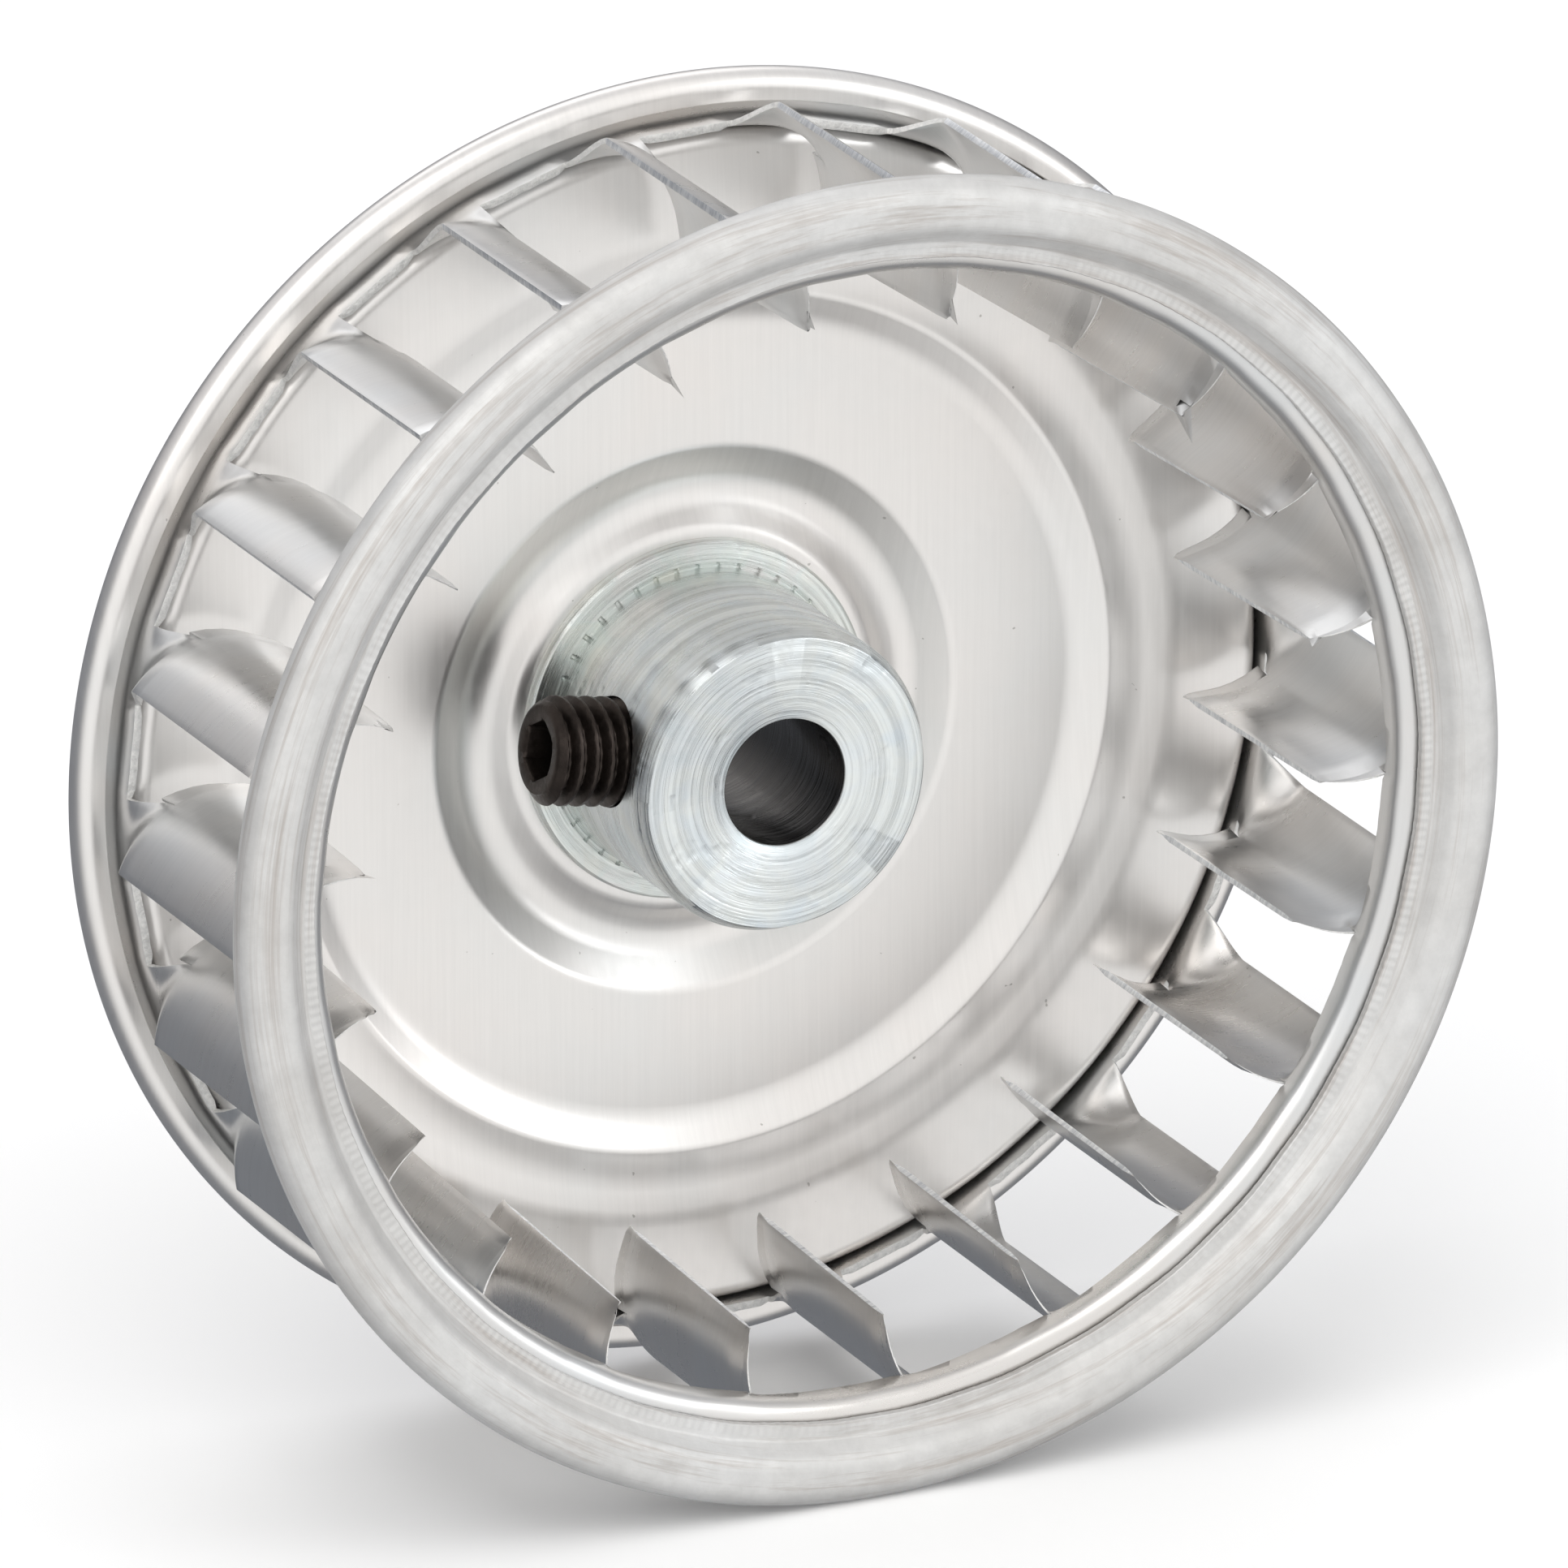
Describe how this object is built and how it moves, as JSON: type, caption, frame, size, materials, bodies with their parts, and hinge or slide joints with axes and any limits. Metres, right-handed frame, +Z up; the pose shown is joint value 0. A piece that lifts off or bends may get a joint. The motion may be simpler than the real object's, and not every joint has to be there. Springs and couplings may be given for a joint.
{
  "type": "blower motor wheel",
  "caption": "Small forward-curved blower wheel: a strip of lanced blades hemmed between an inlet ring and a dished back plate, on a swaged hub with a set screw.",
  "frame": {"origin": "on the wheel's axis, in the plane of the back plate's flat front face", "axes": "+Y along the axis towards the closed back, -Y out of the inlet, +Z up, +X to the right when looking into the inlet"},
  "size_m": [0.1, 0.0347, 0.1],
  "materials": {
    "ring_aluminium": "matte, rolled",
    "strip_aluminium": "satin, sheared edges",
    "plate_aluminium": "brushed, fine straight grain",
    "zinc_plated_steel": "turned, bright zinc plate",
    "black_oxide_steel": "black oxide"
  },
  "bodies": {
    "wheel": {"front_ring": "ring_aluminium", "blade_strip": "strip_aluminium", "back_plate": "plate_aluminium", "hub": "zinc_plated_steel"},
    "set_screw": {"set_screw": "black_oxide_steel"}
  },
  "joints": [
    {"name": "set_screw_travel", "type": "slide", "parent": "wheel", "child": "set_screw", "axis": [-0.9854, 0, 0.1702], "range_m": [-0.0009, 0.006]}
  ]
}
